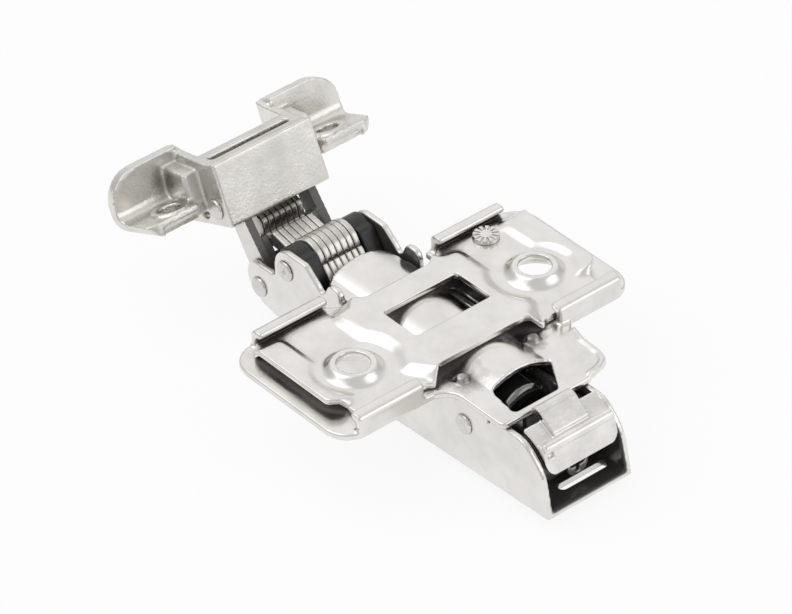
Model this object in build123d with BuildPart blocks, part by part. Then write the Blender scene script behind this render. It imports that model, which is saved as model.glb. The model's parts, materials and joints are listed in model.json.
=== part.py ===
from build123d import *
import os
from math import atan2, cos, degrees, hypot, radians, sin, tan

# Concealed cabinet hinge with a wall plate, a height slide, a depth slide and a door housing.
# X runs back along the arm, Y lies along the pivots and Z points at the cabinet wall.
# The origin is midway between the two wall screws, on the face that touches the wall.
# Everything is in millimetres, with the door fully open.

# Shared sizes
sheet = 1.0  # pressed steel sheet
slide_gap = 0.1  # between flat faces that slide on each other
pin_gap = 0.05  # round a pin in a hole that turns on it
shortest_edge = 1e-4  # shorter stretches of an outline are left out

# Travels
height_travel = 1.5  # base plate along Y, each way
depth_forward = 1.0  # arm towards -X
depth_back = 0.5  # arm towards +X

# Wall plate
screw_pitch = 32.0
screw_hole_r = 2.3
cone_top_r = 3.1
cone_foot_r = 4.6
moat_r = 5.9  # flat ring that the raised centre leaves round each cone
border_moat_r = 5.0  # the same beside the raised end borders
plateau_rise = 1.5
plateau_half_width = 11.8
border_rise = 1.2
border_start = 18.7  # where the raised end borders begin, along Y
press_angle = 45  # slope of the pressed steps
plate_front = -13.6
plate_rear = 8.6
plate_half_length = 23.6
window_length = 7.0
window_width = 12.9
window_x = -2.3

# Base plate
base_front = -14.9
base_rear = 9.9
base_half_length = 25.8
base_corner_r = 4.0
hem_reach = 2.1  # how far a hem's lip reaches back over the wall plate
front_hem = (9.9, 21.7)  # start and end along Y
rear_hem = (12.0, 23.0)
ridge_y = 0.5
ridge_half_width = 5.0
ridge_rise = 1.4
slot_width = 1.2  # of the slots beside the ridge
screw_access_r = 4.9  # holes under the wall screws
tongue_front = -19.2
tongue_half_width = 5.8
leg_half_width = 8.0
leg_fillet_r = 3.0
leg_rear = 21.1
opening_front = 14.4
opening_rear = 19.9
button_r = 1.0
button_rise = 0.9

# Height cam
cam_x = -10.7
cam_y = base_half_length - 9.4
cam_head_r = 1.95
cam_head_rise = 0.7
cam_notches = 12
cam_shaft_r = 1.4
cam_disc_r = 1.6
cam_flange_r = 2.5
cam_throw = 1.75

# Arm channel
arm_half_width = 7.4
arm_front_slope = 0.05  # rise of the underside towards the rear
arm_underside = -15.75  # height of the underside at x = 0
arm_rear = 29.4
hump_front = -17.2
hump_rear = -13.2
hump_top = -0.6
ear_r = 3.5
web_front = -20.0

# Pivots, as x and z
ear_pivot = (-25.2, -3.3)
nose_pivot = (-31.3, -9.4)
lever_pivot = (12.4, -7.75)
pin_r = 1.2
rivet_r = 1.0
head_r = 1.6
head_rise = 0.4
dimple_r = 0.4  # in the middle of each riveted head

# Housing frame: p runs out of its front face and q up along that face
housing_tilt = 24.0  # of the face's normal, above X
housing_foot = (-34.95, -0.83)  # x and z of the face's lower edge
front_pivot = (-2.7, 2.7)  # p and q
rear_pivot = (-6.0, 2.0)
block_half_width = 8.7
block_height = 9.6
block_wall = 1.4  # side walls
face_wall = 1.0
lip_wall = 0.35  # the face's wall at its lower edge, beside the outer link
lug_wall = 1.0
lug_r = 2.0
roof_wall = 2.0
slit = (-4.0, -2.8)  # p of the slit through the roof
housing_depth = 11.1
wing_top = 11.6
wing_reach = 20.1
wing_wall = 2.3  # the back wall, along its top
wing_foot_wall = 1.0  # the back wall, where it meets the floor
wing_floor = 4.7
wing_underside = 2.4
wing_front = -2.5
wing_fillet_r = 1.6  # between the floor and the back wall
wing_end_r = (4.7, 3.6)  # rounds of the wing's end, at the top and below
door_screw_r = 1.6
door_screw_pitch = 28.08
door_screw_p = -5.6
door_pad_r = 2.9
door_pad_rise = 0.4

# Links
plate_count = 7
plate_pitch = 1.03
plate_split = 0.07  # shadow gap between neighbouring laminations
knuckle_r = 3.2
eye_r = 2.7
open_pivot_gap = 0.85  # room at the pivot that the linkage leaves open
outer_link_half_width = 6.3
outer_link_sheet = 1.3
outer_link_r = 2.1
outer_link_tip_r = 1.5
outer_link_web = 3.2  # how far the web runs from the nose pivot

# Damper, spring and depth screw
damper_r = 4.4
damper_z = -8.2
damper_front = -8.0
damper_rear = 16.0
rod_r = 1.2
spring_r = 3.3
spring_wire_r = 0.45
spring_turns = 5
carrier_rear = -15.0
screw_r = 1.8
screw_neck_r = 1.2
screw_z = -10.6
screw_y = 0.6
screw_end = 26.2
nut_length = 3.5
lever_half_width = 6.2

# Levels and places worked out from the sizes above
land_z = -plateau_rise
floor_top = land_z - sheet - slide_gap
floor_bottom = floor_top - sheet
arm_top = floor_bottom - slide_gap
arm_inner = arm_half_width - sheet
screw_places = [(0, -screw_pitch / 2), (0, screw_pitch / 2)]
normal = (cos(radians(housing_tilt)), sin(radians(housing_tilt)))
nut_rear = leg_rear - 0.2
nut_front = nut_rear - nut_length
bracket_front = nut_rear + depth_forward + 0.8
panel_front = leg_rear + depth_forward + 1.0
stack_half_width = plate_count * plate_pitch / 2
plate_thickness = plate_pitch - plate_split


def outline(corners, mode=Mode.ADD):
    """Closed face from rows of two coordinates and a corner radius, given either way round."""
    points = [Vector(u, v) for u, v, _ in corners]
    turns = sum(here.cross(ahead).Z for here, ahead in zip(points, points[1:] + points[:1]))
    if turns < 0:
        corners = corners[::-1]
        points = points[::-1]
    rounds = []
    for index, (here, (_, _, radius)) in enumerate(zip(points, corners)):
        back = (points[index - 1] - here).normalized()
        ahead = (points[(index + 1) % len(points)] - here).normalized()
        half_angle = radians(back.get_angle(ahead) / 2)
        reach = radius / tan(half_angle)
        middle = (back + ahead).normalized() * (radius / sin(half_angle) - radius)
        rounds.append((here + back * reach, here + middle, here + ahead * reach))
    with BuildLine() as edge:
        for (start, middle, end), (following, _, _) in zip(rounds, rounds[1:] + rounds[:1]):
            if (end - start).length > shortest_edge:
                ThreePointArc(start, middle, end)
            if (following - end).length > shortest_edge:
                Line(end, following)
    make_face(edge.edges(), mode=mode)


def both_sides(corners):
    """The rows of one side, followed round by their mirror image across y = 0."""
    return corners + [(x, -y, r) for x, y, r in reversed(corners)]


def side_plane(y):
    """Drawing plane in x and z. Extruding from it goes towards -Y."""
    return Plane.XZ.offset(-y)


def housing_side(y):
    """Drawing plane in the housing's p and q. Extruding from it goes towards -Y."""
    x, z = housing_foot
    return Plane(origin=(x, y, z), x_dir=(normal[0], 0, normal[1]), z_dir=(0, -1, 0))


def housing_level(q):
    """Drawing plane in the housing's p and y, at height q. Extruding goes up along q."""
    x, z = housing_point(0, q)
    up = (-normal[1], 0, normal[0])
    return Plane(origin=(x, 0, z), x_dir=(normal[0], 0, normal[1]), z_dir=up)


def housing_front(p):
    """Drawing plane in y and the housing's q, at depth p. Extruding goes out along p."""
    x, z = housing_point(p, 0)
    return Plane(origin=(x, 0, z), x_dir=(0, 1, 0), z_dir=(normal[0], 0, normal[1]))


def housing_point(p, q):
    """Place in x and z of a point of the housing."""
    x, z = housing_foot
    return (x + p * normal[0] - q * normal[1], z + p * normal[1] + q * normal[0])


def at_housing(p, y, q):
    """Place in x, y and z of a point of the housing."""
    x, z = housing_point(p, q)
    return (x, y, z)


def underside(x):
    """Height of the arm's underside."""
    return arm_underside + arm_front_slope * x


def web_top(x):
    """Height of the arm's web, inside the channel."""
    return underside(x) + sheet


front_pivot_xz = housing_point(*front_pivot)
rear_pivot_xz = housing_point(*rear_pivot)

os.makedirs("parts", exist_ok=True)

# Wall plate: one sheet, pressed up in the middle, along both ends and round the screws
plate_corners = both_sides([
    (plate_front + 3.6, 5.5, 1.5),
    (plate_front, 10.4, 0.8),
    (plate_front, plate_half_length - 1.8, 0.8),
    (plate_front + 1.8, plate_half_length, 0.8),
    (plate_rear - 5.0, plate_half_length, 1.2),
    (plate_rear - 3.4, plate_half_length - 2.2, 1.0),
    (plate_rear, plate_half_length - 2.4, 0.8),
    (plate_rear, 10.5, 0.4),
    (plate_rear + 0.7, 9.6, 0.4),
    (plate_rear - 0.9, 7.4, 1.0),
])
plateau_corners = both_sides([
    (plate_front - 3, 5.8, 0),
    (plate_front + 2.4, 8.8, 1.0),
    (plate_front + 2.4, plateau_half_width, 1.7),
    (plate_rear - 3.2, plateau_half_width, 2.0),
    (plate_rear + 0.8, 9.2, 1.0),
    (plate_rear + 4, 9.2, 0),
])
border_corners = [
    (plate_front + 1.6, border_start, 1.6),
    (plate_rear - 3.4, border_start, 2.2),
    (plate_rear - 2.0, plate_half_length + 4, 0),
    (plate_front + 1.6, plate_half_length + 4, 0),
]


def pressed_form(foot_z):
    """The raised centre, end borders and screw cones, from foot_z up."""
    on_foot = (Align.CENTER, Align.CENTER, Align.MIN)
    with BuildPart() as form:
        with BuildSketch(Plane.XY.offset(foot_z)):
            outline(plateau_corners)
        extrude(amount=plateau_rise, taper=press_angle)
        with Locations(*[(x, y, foot_z) for x, y in screw_places]):
            Cone(moat_r, moat_r + plateau_rise, plateau_rise, align=on_foot, mode=Mode.SUBTRACT)
        with BuildPart(mode=Mode.PRIVATE) as borders:
            for side in (1, -1):
                with BuildSketch(Plane.XY.offset(foot_z)):
                    outline([(x, side * y, r) for x, y, r in border_corners])
                extrude(amount=border_rise, taper=press_angle)
            with Locations(*[(x, y, foot_z) for x, y in screw_places]):
                Cone(border_moat_r, border_moat_r + border_rise, border_rise, align=on_foot, mode=Mode.SUBTRACT)
        add(borders.part)
        with Locations(*[(x, y, foot_z) for x, y in screw_places]):
            Cone(cone_foot_r, cone_top_r, plateau_rise, align=on_foot)
    return form.part


with BuildPart() as wall_plate:
    with BuildSketch(Plane.XY.offset(land_z - sheet)):
        outline(plate_corners)
    extrude(amount=sheet)
    add(pressed_form(land_z))
    with BuildSketch(Plane.XY.offset(land_z - sheet)) as trim:
        outline(plate_corners)
    extrude(trim.sketch, amount=plateau_rise + sheet, mode=Mode.INTERSECT)
    add(pressed_form(land_z - sheet), mode=Mode.SUBTRACT)
    with Locations(*[(x, y, 0) for x, y in screw_places]):
        Hole(screw_hole_r)
    with Locations((cam_x, cam_y, 0)):
        Hole(cam_shaft_r + pin_gap)
    with BuildSketch():
        with Locations((window_x, ridge_y)):
            RectangleRounded(window_length, window_width, 0.3)
    extrude(amount=-plateau_rise - sheet, mode=Mode.SUBTRACT)
wall_plate.part.label = "wall_plate"
export_step(wall_plate.part, "parts/wall_plate.step")

# Base plate: floor, front tongue, rear leg with its tab, half-round ridge and four hems
hump_notch = (arm_inner - 0.3, arm_half_width + height_travel)
tab_corners = [
    (base_rear - 3.5, 6.0, 0),
    (base_rear - 1.5, 15.0, 0.4),
    (12.7, 11.6, 1.0),
    (17.3, 12.5, 1.2),
    (19.8, 11.6, 1.6),
    (21.0, 7.0, 0.8),
    (21.0, 6.0, 0),
]
ridge_r = (ridge_half_width**2 + ridge_rise**2) / (2 * ridge_rise)
slot_middle = ridge_half_width + 0.1 + slot_width / 2
cam_slot_half_width = cam_disc_r + 0.15
cam_slot_half_length = cam_disc_r + cam_throw / 2 + 0.3
opening_corners = [
    (opening_front, ridge_y - ridge_half_width + 0.4, 0.4),
    (opening_rear, ridge_y - ridge_half_width - 0.4, 0.4),
    (opening_rear, ridge_y + 2.2, 0.6),
    (opening_front, ridge_y + ridge_half_width + 0.6, 0.4),
]


def barrel(crest_z, mode):
    """The ridge's half-round form, from the tongue back to the opening."""
    with BuildSketch(Plane.YZ.offset(tongue_front)) as section:
        with Locations((ridge_y, crest_z - ridge_r)):
            Circle(ridge_r)
        with Locations((ridge_y, crest_z - ridge_rise)):
            Rectangle(4 * ridge_r, 2 * ridge_r, align=(Align.CENTER, Align.MAX), mode=Mode.SUBTRACT)
    extrude(section.sketch, amount=opening_front + 0.4 - tongue_front, mode=mode)


with BuildPart() as base_plate:
    with BuildSketch(Plane.XY.offset(floor_bottom)) as floor:
        outline(both_sides([
            (base_front, base_half_length, base_corner_r),
            (base_rear, base_half_length, base_corner_r),
        ]))
        outline(both_sides([(tongue_front, tongue_half_width, 2.5), (0, tongue_half_width, 0)]))
        outline(both_sides([(0, leg_half_width, 0), (leg_rear, leg_half_width, 0.8)]))
        outline([
            (base_rear - 2, -leg_half_width - leg_fillet_r, 0),
            (base_rear, -leg_half_width - leg_fillet_r, 0),
            (base_rear, -leg_half_width, leg_fillet_r),
            (base_rear + leg_fillet_r, -leg_half_width, 0),
            (base_rear + leg_fillet_r, 0, 0),
            (base_rear - 2, 0, 0),
        ])
        outline(tab_corners)
        notch_depth = hump_rear + depth_back + 0.6 - base_front
        for y in (sum(hump_notch) / 2, -sum(hump_notch) / 2):
            with Locations((base_front, y)):
                Rectangle(2 * notch_depth, hump_notch[1] - hump_notch[0], mode=Mode.SUBTRACT)
    extrude(amount=sheet)
    barrel(floor_top + ridge_rise, Mode.ADD)
    extrude(floor.sketch, amount=sheet + ridge_rise, mode=Mode.INTERSECT)
    barrel(floor_bottom + ridge_rise, Mode.SUBTRACT)
    with BuildSketch(Plane.XY.offset(floor_top)):
        with Locations((window_x, ridge_y + slot_middle), (window_x, ridge_y - slot_middle)):
            Rectangle(window_length + 1, slot_width)
        with Locations((cam_x + cam_throw, cam_y)):
            SlotOverall(2 * cam_slot_half_length, 2 * cam_slot_half_width)
        with Locations(*screw_places):
            Circle(screw_access_r)
    extrude(amount=-sheet, mode=Mode.SUBTRACT)
    with BuildSketch(Plane.XY.offset(floor_bottom)) as opening:
        outline(opening_corners)
    extrude(opening.sketch, amount=sheet + ridge_rise, mode=Mode.SUBTRACT)
    for side in (1, -1):
        for edge, inward, (start, end) in ((base_front, 1, front_hem), (base_rear, -1, rear_hem)):
            with BuildSketch(side_plane(max(side * start, side * end))) as hem:
                outline([
                    (edge, floor_bottom, 0.3),
                    (edge, 0, 0.9),
                    (edge + inward * hem_reach, 0, 0.3),
                    (edge + inward * hem_reach, -sheet, 0.3),
                    (edge + inward * sheet, -sheet, 0.2),
                    (edge + inward * sheet, floor_bottom, 0),
                ])
            extrude(hem.sketch, amount=end - start)
    with Locations((base_rear + 0.3, ridge_y - 6.2, floor_top), (base_rear, ridge_y + 6.4, floor_top)):
        Cylinder(button_r, button_rise, align=(Align.CENTER, Align.CENTER, Align.MIN))
    buttons = base_plate.edges().filter_by(GeomType.CIRCLE).filter_by_position(
        Axis.Z, floor_top + button_rise - 0.01, floor_top + button_rise + 0.01
    )
    fillet(buttons, 0.5)
base_plate.part.label = "base_plate"
export_step(base_plate.part, "parts/base_plate.step")

# Height cam: serrated head over the wall plate, eccentric disc in the base plate's slot
disc_bottom = floor_bottom - slide_gap
with BuildPart() as height_cam:
    with BuildSketch(Plane.XY.offset(land_z)):
        with Locations((cam_x, cam_y)):
            Circle(cam_head_r)
    extrude(amount=cam_head_rise, taper=8)
    with BuildSketch(Plane.XY.offset(land_z + cam_head_rise)):
        with Locations((cam_x, cam_y)):
            with PolarLocations(cam_head_r, cam_notches):
                Rectangle(2.2, 0.28)
    extrude(amount=-0.3, mode=Mode.SUBTRACT)
    with BuildSketch(Plane.XY.offset(land_z)):
        with Locations((cam_x, cam_y)):
            Circle(cam_shaft_r)
    extrude(amount=-sheet - pin_gap)
    with BuildSketch(Plane.XY.offset(disc_bottom)):
        with Locations((cam_x + cam_throw, cam_y)):
            Circle(cam_disc_r)
    extrude(amount=land_z - sheet - pin_gap - disc_bottom)
    with BuildSketch(Plane.XY.offset(disc_bottom)):
        with Locations((cam_x + cam_throw, cam_y)):
            Circle(cam_flange_r)
    extrude(amount=-0.8, taper=20)
height_cam.part.label = "height_cam"
export_step(height_cam.part, "parts/height_cam.step")

# Arm: U-shaped channel, with its side outline cut through both walls
ear_x, ear_z = ear_pivot
nose_x, nose_z = nose_pivot
arm_corners = [
    (arm_rear, underside(arm_rear), 0.3),
    (28.0, -7.2, 6.0),
    (24.5, arm_top, 4.0),
    (hump_rear, arm_top, 0.8),
    (hump_rear, hump_top, 1.4),
    (hump_front + 1.2, hump_top, 1.4),
    (hump_front, -3.5, 0.8),
    (-18.5, -2.1, 0.6),
    (-21.0, -0.1, 1.2),
    (-27.8, -0.1, ear_r - 0.1),
    (-27.8, -5.6, 0.4),
    (-33.9, -5.6, 2.4),
    (-34.1, -9.6, 2.6),
    (-31.0, underside(-31) + 5.2, 1.5),
    (-27.5, underside(-27.5) + 4.4, 2.0),
    (-3.0, underside(-3), 3.0),
]
with BuildPart() as arm:
    with BuildSketch(Plane.XZ):
        outline(arm_corners)
    extrude(amount=arm_half_width, both=True)
    with BuildSketch(side_plane(arm_inner)) as inside:
        outline([
            (arm_rear + 5, web_top(arm_rear + 5), 0),
            (web_front, web_top(web_front), 0),
            (web_front, -20, 0),
            (-40, -20, 0),
            (-40, 5, 0),
            (arm_rear + 5, 5, 0),
        ])
    extrude(inside.sketch, amount=2 * arm_inner, mode=Mode.SUBTRACT)
    with BuildSketch(Plane.XZ) as pivots:
        with Locations(ear_pivot):
            Circle(pin_r)
        with Locations(nose_pivot, lever_pivot):
            Circle(rivet_r)
        with Locations((17.2, -4.6)):
            Circle(0.35)
    extrude(pivots.sketch, amount=2 * arm_half_width, both=True, mode=Mode.SUBTRACT)
    with BuildSketch(Plane.XY.offset(underside(arm_rear) - 1)) as access:
        with Locations((25.7, 1.8)):
            SlotOverall(8.2, 1.4, rotation=90)
    extrude(access.sketch, amount=4, mode=Mode.SUBTRACT)
arm.part.label = "arm"
export_step(arm.part, "parts/arm.step")


def dimple(x, y, z):
    """Small punched dimple in the middle of a riveted head."""
    with Locations((x, y, z)):
        Sphere(dimple_r, mode=Mode.SUBTRACT)


def headed_pin(x, z, radius, half_length, head):
    """Round pin along Y with a low riveted head at both ends."""
    with BuildSketch(side_plane(half_length)) as shank:
        with Locations((x, z)):
            Circle(radius)
    extrude(shank.sketch, amount=2 * half_length)
    for side in (1, -1):
        with BuildSketch(side_plane(side * half_length)) as cap:
            with Locations((x, z)):
                Circle(head)
        extrude(cap.sketch, amount=-side * head_rise, taper=25)
        dimple(x, side * (half_length + head_rise), z)


def short_rivets(x, z, radius, inner, outer, head):
    """Two short rivets along Y, one on each side, with their heads outside."""
    for side in (1, -1):
        with BuildSketch(side_plane(side * outer)) as shank:
            with Locations((x, z)):
                Circle(radius)
        extrude(shank.sketch, amount=side * (outer - inner))
        with BuildSketch(side_plane(side * outer)) as cap:
            with Locations((x, z)):
                Circle(head)
        extrude(cap.sketch, amount=-side * head_rise, taper=25)


with BuildPart() as ear_pin:
    headed_pin(ear_x, ear_z, pin_r, arm_half_width, head_r)
ear_pin.part.label = "ear_pin"
export_step(ear_pin.part, "parts/ear_pin.step")

outer_link_inner = outer_link_half_width - outer_link_sheet
with BuildPart() as nose_rivets:
    short_rivets(nose_x, nose_z, rivet_r, outer_link_inner - 0.2, arm_half_width, head_r)
nose_rivets.part.label = "nose_rivets"
export_step(nose_rivets.part, "parts/nose_rivets.step")

with BuildPart() as lever_rivets:
    short_rivets(*lever_pivot, rivet_r, lever_half_width - sheet, arm_half_width, head_r)
lever_rivets.part.label = "lever_rivets"
export_step(lever_rivets.part, "parts/lever_rivets.step")

# Bushings: black cheeks between the laminations and the ears
bushing_r = 2.95
bushing_corners = [
    (ear_x + 0.4, ear_z + bushing_r - 0.3, 0.4),
    (ear_x + 2.6, ear_z + bushing_r - 0.5, 0.8),
    (ear_x + 5.5, ear_z - 2.0, 0.8),
    (ear_x + 7.7, ear_z - 8.7, 1.0),
    (ear_x - 0.4, ear_z - 7.2, 2.0),
    (ear_x - 1.5, ear_z, 0.5),
]
for name, inner, outer in (
    ("near_bushing", -arm_inner, -stack_half_width - slide_gap),
    ("far_bushing", stack_half_width + slide_gap, arm_inner),
):
    with BuildPart() as bushing:
        with BuildSketch(side_plane(outer)):
            outline(bushing_corners)
            with Locations(ear_pivot):
                Circle(bushing_r)
                Circle(pin_r, mode=Mode.SUBTRACT)
        extrude(amount=outer - inner)
    bushing.part.label = name
    export_step(bushing.part, f"parts/{name}.step")

# Inner link: seven laminations from the ear pin to the housing's rear pin
rear_x, rear_z = rear_pivot_xz
neck_corners = [
    (rear_x, rear_z + eye_r * 0.8, 0.5),
    (ear_x - 11.8, ear_z + 1.8, 1.0),
    (ear_x - 9.6, ear_z + 1.3, 0.9),
    (ear_x - 9.2, ear_z - 0.9, 0.3),
    (ear_x - 8.2, ear_z - 0.9, 0.3),
    (ear_x - 7.9, ear_z + 0.4, 0.25),
    (ear_x - 3.8, ear_z - 0.4, 0.4),
    (ear_x, ear_z - 0.4, 0),
    (ear_x, ear_z - 2.0, 0),
    (ear_x - 8.3, ear_z - 2.0, 1.5),
    (rear_x, rear_z - eye_r, 0.5),
]


def lamination_places():
    """The Y place of each lamination's +Y face."""
    for index in range(plate_count):
        yield index + 1, -stack_half_width + (index + 1) * plate_pitch - plate_split / 2


for number, face_y in lamination_places():
    with BuildPart() as inner_link:
        with BuildSketch(side_plane(face_y)):
            outline(neck_corners)
            with Locations(ear_pivot):
                Circle(knuckle_r)
                Circle(pin_r + pin_gap, mode=Mode.SUBTRACT)
            with Locations(rear_pivot_xz):
                Circle(eye_r)
                Circle(rivet_r + open_pivot_gap, mode=Mode.SUBTRACT)
        extrude(amount=plate_thickness)
    inner_link.part.label = f"inner_link_{number}"
    export_step(inner_link.part, f"parts/inner_link_{number}.step")

# Follower: seven laminations behind the knuckle, on a carrier that the spring pushes
follower_gap = 0.12
carrier_front = ear_x + 6.7
carrier_top = damper_z + damper_r - 1.2
carrier_bottom = damper_z - damper_r
for number, face_y in lamination_places():
    with BuildPart() as follower:
        with BuildSketch(side_plane(face_y)):
            outline([
                (ear_x + 1.0, ear_z + 2.0, 0),
                (ear_x + 2.9, ear_z + 1.3, 0.2),
                (ear_x + 4.9, ear_z - 0.8, 0.4),
                (carrier_front, carrier_top - 0.6, 0),
                (carrier_front, carrier_bottom + 1.6, 0),
                (ear_x + 1.5, ear_z - 4.7, 0.5),
                (ear_x + 0.5, ear_z - 2.0, 0),
            ])
            with Locations(ear_pivot):
                Circle(knuckle_r + follower_gap, mode=Mode.SUBTRACT)
        extrude(amount=plate_thickness)
    follower.part.label = f"follower_plate_{number}"
    export_step(follower.part, f"parts/follower_plate_{number}.step")

with BuildPart() as follower_carrier:
    with BuildSketch(side_plane(stack_half_width)):
        outline([
            (carrier_front, carrier_top, 0.3),
            (carrier_rear, carrier_top, 0.3),
            (carrier_rear, carrier_bottom, 0.3),
            (carrier_front, carrier_bottom, 0.3),
        ])
    extrude(amount=2 * stack_half_width)
follower_carrier.part.label = "follower_carrier"
export_step(follower_carrier.part, "parts/follower_carrier.step")

with BuildPart() as damper_rod:
    with BuildSketch(Plane.YZ.offset(carrier_rear)):
        with Locations((ridge_y, damper_z)):
            Circle(rod_r)
    extrude(amount=damper_front + 10 - carrier_rear)
damper_rod.part.label = "damper_rod"
export_step(damper_rod.part, "parts/damper_rod.step")

# Damper: cylinder with a cradle that stands on the web
with BuildPart() as damper_body:
    with BuildSketch(Plane.YZ.offset(damper_front)):
        with Locations((ridge_y, damper_z)):
            Circle(damper_r)
    extrude(amount=damper_rear - damper_front)
    chamfer(damper_body.faces().sort_by(Axis.X)[-1].edges(), 0.5)
    with BuildSketch(side_plane(damper_r - 0.6)):
        outline([
            (damper_front, damper_z - 1, 0),
            (damper_front, web_top(damper_front), 0),
            (damper_rear, web_top(damper_rear), 0),
            (damper_rear, damper_z - 1, 0),
        ])
    extrude(amount=2 * damper_r - 1.2)
    with BuildSketch(Plane.YZ.offset(damper_front)):
        with Locations((ridge_y, damper_z)):
            Circle(rod_r + pin_gap)
    extrude(amount=12, mode=Mode.SUBTRACT)
damper_body.part.label = "damper_body"
export_step(damper_body.part, "parts/damper_body.step")

# Closing spring, round the damper rod
spring_length = damper_front - carrier_rear
spring_pitch = (spring_length - 2 * spring_wire_r) / spring_turns
with BuildPart() as closing_spring:
    with BuildLine() as coil:
        Helix(
            spring_pitch,
            spring_length - 2 * spring_wire_r,
            spring_r - spring_wire_r,
            center=(carrier_rear + spring_wire_r, ridge_y, damper_z),
            direction=(1, 0, 0),
        )
    with BuildSketch(Plane(origin=coil.line @ 0, z_dir=coil.line % 0)):
        Circle(spring_wire_r)
    sweep(path=coil.line, is_frenet=True)
closing_spring.part.label = "closing_spring"
export_step(closing_spring.part, "parts/closing_spring.step")

# Depth screw with its threaded block under the leg and its bracket on the arm
nut_width = 2 * (arm_inner - 2.2)
nut_bottom = screw_z - screw_r - 0.2
nut_top = screw_z + screw_r + 2.8
with BuildPart() as screw_block:
    with BuildSketch(Plane.YZ.offset(nut_front)):
        with Locations((ridge_y, (nut_bottom + nut_top) / 2)):
            RectangleRounded(nut_width, nut_top - nut_bottom, 0.8)
    extrude(amount=nut_length)
    with BuildSketch(Plane.YZ.offset(nut_rear - sheet)):
        with Locations((ridge_y, floor_bottom)):
            Rectangle(nut_width, floor_bottom - nut_top + 1, align=(Align.CENTER, Align.MAX))
    extrude(amount=sheet)
    with BuildSketch(Plane.YZ.offset(nut_front)):
        with Locations((screw_y, screw_z)):
            Circle(screw_r + pin_gap)
    extrude(amount=nut_length, mode=Mode.SUBTRACT)
screw_block.part.label = "screw_block"
export_step(screw_block.part, "parts/screw_block.step")

bracket_rear = bracket_front + sheet
with BuildPart() as screw_bracket:
    with BuildSketch(side_plane(3.5)):
        outline([
            (bracket_front, screw_z + 2.6, 0.3),
            (bracket_front, web_top(bracket_front), 0),
            (bracket_rear, web_top(bracket_rear), 0),
            (bracket_rear, screw_z + 2.6, 0.3),
        ])
    extrude(amount=7.0)
    with BuildSketch(Plane.YZ.offset(bracket_front)):
        with Locations((screw_y, screw_z)):
            Circle(screw_neck_r + pin_gap)
    extrude(amount=sheet, mode=Mode.SUBTRACT)
screw_bracket.part.label = "screw_bracket"
export_step(screw_bracket.part, "parts/screw_bracket.step")

with BuildPart() as depth_screw:
    with BuildSketch(Plane.YZ.offset(nut_front + 0.4)):
        with Locations((screw_y, screw_z)):
            Circle(screw_r)
    extrude(amount=screw_end - nut_front - 0.4)
    neck_start = bracket_front - slide_gap
    with BuildSketch(Plane.YZ.offset(neck_start)):
        with Locations((screw_y, screw_z)):
            Circle(screw_r + 1)
            Circle(screw_neck_r, mode=Mode.SUBTRACT)
    extrude(amount=sheet + 2 * slide_gap, mode=Mode.SUBTRACT)
    with BuildSketch(Plane.YZ.offset(screw_end)):
        with Locations((screw_y, screw_z)):
            Rectangle(2.4, 0.5)
            Rectangle(0.5, 2.4)
    extrude(amount=-0.9, mode=Mode.SUBTRACT)
depth_screw.part.label = "depth_screw"
export_step(depth_screw.part, "parts/depth_screw.step")

# Release lever: folded panel over the arm's open end, with two cheeks to its pivot
crease = (27.4, -5.1)
lip_end = (28.3, -8.3)
roll_bottom = floor_top + slide_gap
roll_side = 2.9
roll_width = 6.3
with BuildPart() as release_lever:
    with BuildSketch(side_plane(lever_half_width)):
        outline([
            (lever_pivot[0] - 2.2, lever_pivot[1] + 2.2, 2.0),
            (panel_front - 0.9, -5.2, 0.6),
            (panel_front, -4.4, 0.3),
            (panel_front, -2.7, 0.3),
            (crease[0] - 1.3, crease[1] + 0.85, 0.3),
            (crease[0] - 0.9, crease[1] + 1.0, 0.3),
            (crease[0] - 0.2, crease[1] + 0.5, 0.4),
            (*crease, 0.3),
            (*lip_end, 0.2),
            (lip_end[0] - sheet, lip_end[1], 0.2),
            (lip_end[0] - sheet - 1.2, lip_end[1] + 1.2, 0.5),
            (21.0, lever_pivot[1] - 0.6, 2.0),
            (lever_pivot[0] - 2.2, lever_pivot[1] - 2.0, 1.8),
        ])
    extrude(amount=2 * lever_half_width)
    with BuildSketch(side_plane(lever_half_width - sheet)) as hollow:
        outline([
            (0, 0, 0),
            (panel_front - 1, 0, 0),
            (panel_front - 1, -3.4, 0),
            (crease[0] - 1.2, -5.9, 0.3),
            (lip_end[0] - sheet, lip_end[1], 0),
            (lip_end[0] - sheet, -20, 0),
            (0, -20, 0),
        ])
    extrude(hollow.sketch, amount=2 * (lever_half_width - sheet), mode=Mode.SUBTRACT)
    with BuildSketch(Plane.XZ) as pivot_hole:
        with Locations(lever_pivot):
            Circle(rivet_r + pin_gap)
    extrude(pivot_hole.sketch, amount=2 * lever_half_width, both=True, mode=Mode.SUBTRACT)
    with BuildSketch(side_plane(roll_side)) as roll:
        outline([
            (panel_front - 1.6, roll_bottom, 0.1),
            (panel_front - 1.6, roll_bottom + 0.8, 0.4),
            (panel_front - 0.2, roll_bottom + 0.8, 0.6),
            (panel_front + 1.6, -3.1, 0),
            (panel_front + 0.8, -3.6, 0),
            (panel_front - 0.4, roll_bottom, 0.1),
        ])
    extrude(roll.sketch, amount=roll_width)
    with BuildSketch(side_plane(-lever_half_width + 1.6)) as lip_notch:
        with Locations((crease[0] + 0.1, crease[1] - 0.1)):
            Circle(0.6)
    extrude(lip_notch.sketch, amount=1.0, mode=Mode.SUBTRACT)
release_lever.part.label = "release_lever"
export_step(release_lever.part, "parts/release_lever.step")

# Outer link: two side plates joined by a short web behind the nose rivets
link_angle = degrees(atan2(front_pivot_xz[1] - nose_z, front_pivot_xz[0] - nose_x))
link_length = hypot(front_pivot_xz[1] - nose_z, front_pivot_xz[0] - nose_x)


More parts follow.
